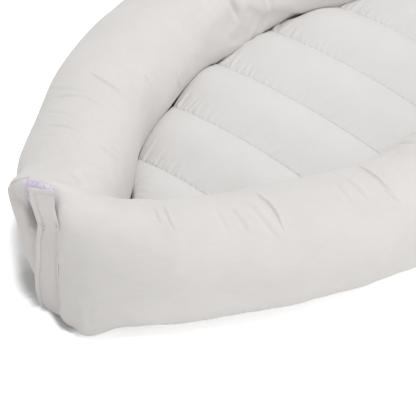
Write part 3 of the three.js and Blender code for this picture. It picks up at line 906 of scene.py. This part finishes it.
def add_node(tree, kind, inputs=(), out=0, **properties):
    """Adds a node, with constants or other nodes' outputs as its inputs, and gives one output."""
    node = tree.nodes.new(kind)
    for key, value in properties.items():
        setattr(node, key, value)
    for socket, value in dict(inputs).items():
        if isinstance(value, bpy.types.NodeSocket):
            tree.links.new(value, node.inputs[socket])
        else:
            node.inputs[socket].default_value = value
    return node.outputs[out] if node.outputs else None


def new_material(name):
    material = bpy.data.materials.new(name)
    material.use_nodes = True
    return material, material.node_tree, material.node_tree.nodes["Principled BSDF"]


def finish(tree, shader, codes, pattern, low, high, bump, **constants):
    """Gives a shader two tones mixed by a pattern, a bump, and what is the same all over."""
    pattern = {"Value": pattern, "From Min": low, "From Max": high}
    share = add_node(tree, "ShaderNodeMapRange", pattern)
    tones = {"Factor": share, 6: linear(codes[1]), 7: linear(codes[0])}
    colour = add_node(tree, "ShaderNodeMix", tones, out=2, data_type="RGBA")
    tree.links.new(colour, shader.inputs["Base Color"])
    tree.links.new(add_node(tree, "ShaderNodeBump", bump), shader.inputs["Normal"])
    for socket, value in constants.items():
        shader.inputs[socket.replace("_", " ")].default_value = value


def give(material, *pieces):
    for piece in pieces:
        piece.data.materials.clear()
        piece.data.materials.append(material)


print("mid grey in linear values:", round(linear("#808080")[0], 3))

# %% Woven cotton
WAVES_A_METRE = 0.314  # a wave texture of scale 1 has about this share of a wave in a unit
SLUB_STRETCH, PATCHES = (60, 900, 1), 22.0


def woven_cotton(name, *codes, thread=0.9, relief=0.2):
    """Real threads are 0.35 mm apart, too fine for a dot of the picture, so these are coarser."""
    material, tree, shader = new_material(name)
    uv = add_node(tree, "ShaderNodeUVMap", uv_map="cloth")
    weave = {"Vector": uv, "Scale": WAVES_A_METRE / (thread * MM), "Distortion": 1.2,
             "Detail": 2.0, "Detail Scale": 0.8}
    warp, weft = (add_node(tree, "ShaderNodeTexWave", weave, out="Fac", bands_direction=way)
                  for way in "XY")
    threads = add_node(tree, "ShaderNodeMath", {0: warp, 1: weft}, operation="MULTIPLY")
    stretched = add_node(tree, "ShaderNodeMapping", {"Vector": uv, "Scale": SLUB_STRETCH})
    slubs, patches = (
        add_node(tree, "ShaderNodeTexNoise", {"Vector": at, "Scale": scale, "Detail": detail})
        for at, scale, detail in ((stretched, 1.0, 2.0), (uv, PATCHES, 3.0)))
    both = add_node(tree, "ShaderNodeMath", {0: slubs, 1: patches}, operation="ADD")
    height = add_node(tree, "ShaderNodeMath", {0: threads, 1: slubs}, operation="ADD")
    bump = {"Height": height, "Strength": relief, "Distance": 0.0002}
    finish(tree, shader, codes, both, 0.75, 1.25, bump, Roughness=0.92,
           Specular_IOR_Level=0.25, Sheen_Weight=0.08, Sheen_Roughness=0.6)
    return material


# Off-white plain-woven cotton, washed and unpressed: matt, with barely visible threads.
cover_cotton = woven_cotton("cotton_plain_woven_cover", "#DEDBD9", "#D9D6D3")
quilt_cotton = woven_cotton("cotton_plain_woven_quilt", "#E2E0DF", "#DEDCDA")
# The closure's cloth is doubled and pressed, so it is flatter. It is the cover's cotton painted a
# touch darker: painted shade on the strips at the nose, which face away from the light.
strip_cotton = woven_cotton("cotton_folded_strip_painted_shade", "#DBD7D4", "#D4CFCC", thread=0.8, relief=0.3)
# Unbleached lining cotton keeps its seed flecks: creamier, with more change of tone.
inner_cotton = woven_cotton("cotton_unbleached_lining", "#E6E4DF", "#DEDBD4")
# The base is a stouter weave that shows its threads.
base_cotton = woven_cotton("cotton_base_cloth", "#D9D6D2", "#CFCBC6", thread=1.2, relief=0.6)
give(cover_cotton, cover)
give(quilt_cotton, quilt)
give(strip_cotton, flap, underlap)
give(inner_cotton, insert, lining)
give(base_cotton, base)
print("woven cottons:", 5)

# %% [markdown]
# The tapes, the thread and the wadding are masses of short fibres. Single fibres are too fine to
# show, so one more recipe gives them an uneven grain in two tones with a small bump.


# %% Nylon tape, thread and polyester fibre
def fibrous(name, *codes, grain, sheen):
    """A mass of short fibres, with a grain of about the given size in millimetres."""
    material, tree, shader = new_material(name)
    where = add_node(tree, "ShaderNodeTexCoord", out="Object")
    grains = {"Vector": where, "Scale": 1 / (grain * MM), "Detail": 4.0}
    fibres = add_node(tree, "ShaderNodeTexNoise", grains)
    bump = {"Height": fibres, "Strength": 0.5, "Distance": 0.0005}
    finish(tree, shader, codes, fibres, 0.3, 0.7, bump, Roughness=0.8, Sheen_Weight=sheen)
    return material


# Brushed nylon loops and moulded nylon hooks, dyed pale lilac: lighter flecks on a darker ground,
# partly the loops' own texture and partly a painted sparkle.
loop_nylon = fibrous("nylon_brushed_loop_tape", "#EFE7F3", "#CABBD9", grain=1.8, sheen=0.2)
hook_nylon = fibrous("nylon_woven_hook_tape", "#E2D6EE", "#C8B6DC", grain=0.9, sheen=0.1)
# Carded polyester fibre: bright white and woolly.
polyester = fibrous("polyester_carded_fibre", "#F6F5F2", "#ECEAE6", grain=4.0, sheen=0.1)
# Twisted cotton thread, a little greyer than the cloth: its twist is too fine to show.
thread = fibrous("cotton_twisted_thread", "#DCD9D5", "#CBC7C2", grain=0.6, sheen=0.05)
give(thread, quilting, topstitch, tacks)
give(loop_nylon, loop)
give(hook_nylon, hook)
give(polyester, pad, *[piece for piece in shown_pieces() if piece.name.startswith("wadding")])
print("fibrous materials:", 4)

# %% [markdown]
# The studio floor is washed out to white, and its shade beside the tip is painted: wide and soft on
# the left, and a thin dark line where the cover meets the floor. Lamps alone would shade it all, so
# each point of a grid holds how far it is washed out, by its distance from the lounger. The floor's
# paint and glow are darker by that much.

# %% Painted shade beside the tip
SHADE_REACH, CONTACT_REACH, CORNER_LESS, FOOT_HEIGHT = 28, 4.6, 3.2, 14
FINE_X, FINE_Y, SPACING, FAR_OUT, SHADED_TO = (-300, 120), (-80, 320), 2.5, 7000, 300
at_foot = [int(np.argmax(ring[:, 2] > FOOT_HEIGHT * MM)) for ring in grid[:, :AROUND // 2]]
foot = np.array([ring[k, :2] for ring, k in zip(grid, at_foot)]) / MM
facing_out = foot - grid.mean(1)[:, :2] / MM
close_by = foot[:, 1] < SHADED_TO - LENGTH / 2
foot, facing_out = foot[close_by][::2], facing_out[close_by][::2]
fine_x, fine_y = np.arange(*FINE_X, SPACING), np.arange(*FINE_Y, SPACING) - LENGTH / 2
floor_x, floor_y = np.meshgrid(*(
    np.concatenate([[-FAR_OUT], fine, [FAR_OUT]]) for fine in (fine_x, fine_y)))


def washed_out(point):
    """1 where the floor is white, and less where shade is painted on it."""
    offsets = point - foot
    gaps = np.hypot(*offsets.T)
    nearest = gaps.argmin()
    near_x, near_y = foot[nearest] + (0, LENGTH / 2)
    on_the_left = fall(-42, -2, near_x)
    outside_it = offsets[nearest] @ facing_out[nearest] > 0
    contact = CONTACT_REACH - CORNER_LESS * smoothstep(-4, 26, near_x)
    away = outside_it * gaps[nearest] / (contact + (SHADE_REACH - contact) * on_the_left)
    soft = on_the_left * smoothstep(0.48, 1.12, away)
    soft += (1 - on_the_left) * smoothstep(0.05, 1.15, away)
    amount = (1 - 0.85 * smoothstep(12, 38, near_x)) * (1 - 0.3 * smoothstep(38, 66, near_y))
    return 1 - amount * fall(80, 280, near_y) * (1 - soft)


wash = np.ones(floor_x.shape)
for r in range(1, wash.shape[0] - 1):
    for c in range(1, wash.shape[1] - 1):
        wash[r, c] = washed_out((floor_x[r, c], floor_y[r, c]))
print("shaded points of the floor:", int((wash < 0.99).sum()))

# %% Floor
GLOW, SHADED_PAINT, WHITE_PAINT = 0.56, 0.60, 0.90
floor_points = np.stack([floor_x, floor_y, 0 * floor_x], -1) * MM
floor = add_mesh("floor", floor_points, grid_faces(*wash.shape).tolist())
floor.data.attributes.new("wash", "FLOAT", "POINT").data.foreach_set("value", wash.ravel())
floor_paint, tree, _ = new_material("studio_floor_painted_shade")
tree.nodes.clear()
washed = add_node(tree, "ShaderNodeAttribute", out="Fac", attribute_name="wash")
# The paint is darker where the wash is low: a painted shadow beside the tip.
painted_shade_range = {"Value": washed, "To Min": SHADED_PAINT, "To Max": WHITE_PAINT}
painted_shade_tone = add_node(tree, "ShaderNodeMapRange", painted_shade_range)
# The floor's own glow reaches the camera and reflections, and lights nothing else. Like the paint, it
# is weaker where shade is painted.
rays = add_node(tree, "ShaderNodeLightPath").node.outputs
straight, glow = rays["Is Camera Ray"], washed
for ray in ("Is Glossy Ray", "Is Transmission Ray"):
    straight = add_node(tree, "ShaderNodeMath", {0: straight, 1: rays[ray]}, operation="ADD")
for factor in (GLOW, straight):
    glow = add_node(tree, "ShaderNodeMath", {0: glow, 1: factor}, operation="MULTIPLY")
light = add_node(tree, "ShaderNodeEmission", {"Strength": glow})
paint = add_node(tree, "ShaderNodeBsdfDiffuse", {"Color": painted_shade_tone})
surface = add_node(tree, "ShaderNodeAddShader", {0: paint, 1: light})
add_node(tree, "ShaderNodeOutputMaterial", {"Surface": surface})
floor.data.materials.append(floor_paint)
print("floor size in metres:", round(floor.dimensions.x))

# %% [markdown]
# One large lamp overhead and a weak one on each side give a plain, soft light. A white world
# fills in the rest, at a level where cotton stays below white.

# %% Lamps and world
LAMPS = [
    ("top_softbox", (0.15, 0.8, 2.8), (0, -0.05, 0), 1.1, 26.5),
    ("right_fill", (2.7, -0.35, 0.6), (0, -0.1, 0.05), 1.1, 13.5),
    ("left_fill", (-2.6, -0.6, 1.1), (0, -0.05, 0.05), 1.6, 3.5),
]
WORLD_LIGHT = 0.71
for name, place, aim, size, energy in LAMPS:
    lamp = bpy.data.objects.new(name, bpy.data.lights.new(name, "AREA"))
    bpy.context.collection.objects.link(lamp)
    lamp.data.energy, lamp.data.size = energy, size
    turn = (Vector(aim) - Vector(place)).to_track_quat("-Z", "Y").to_matrix().to_4x4()
    lamp.matrix_world = Matrix.Translation(place) @ turn
world = bpy.data.worlds.new("studio")
bpy.context.scene.world = world
world.use_nodes = True
background = world.node_tree.nodes["Background"].inputs
background["Color"].default_value = (1, 1, 1, 1)
background["Strength"].default_value = WORLD_LIGHT
bpy.context.scene.view_settings.view_transform = "Standard"
print("lamps:", len(LAMPS))

# %% [markdown]
# Soft pieces may stand a little proud of their solids.

# %% The end
bpy.ops.object.select_all(action="DESELECT")
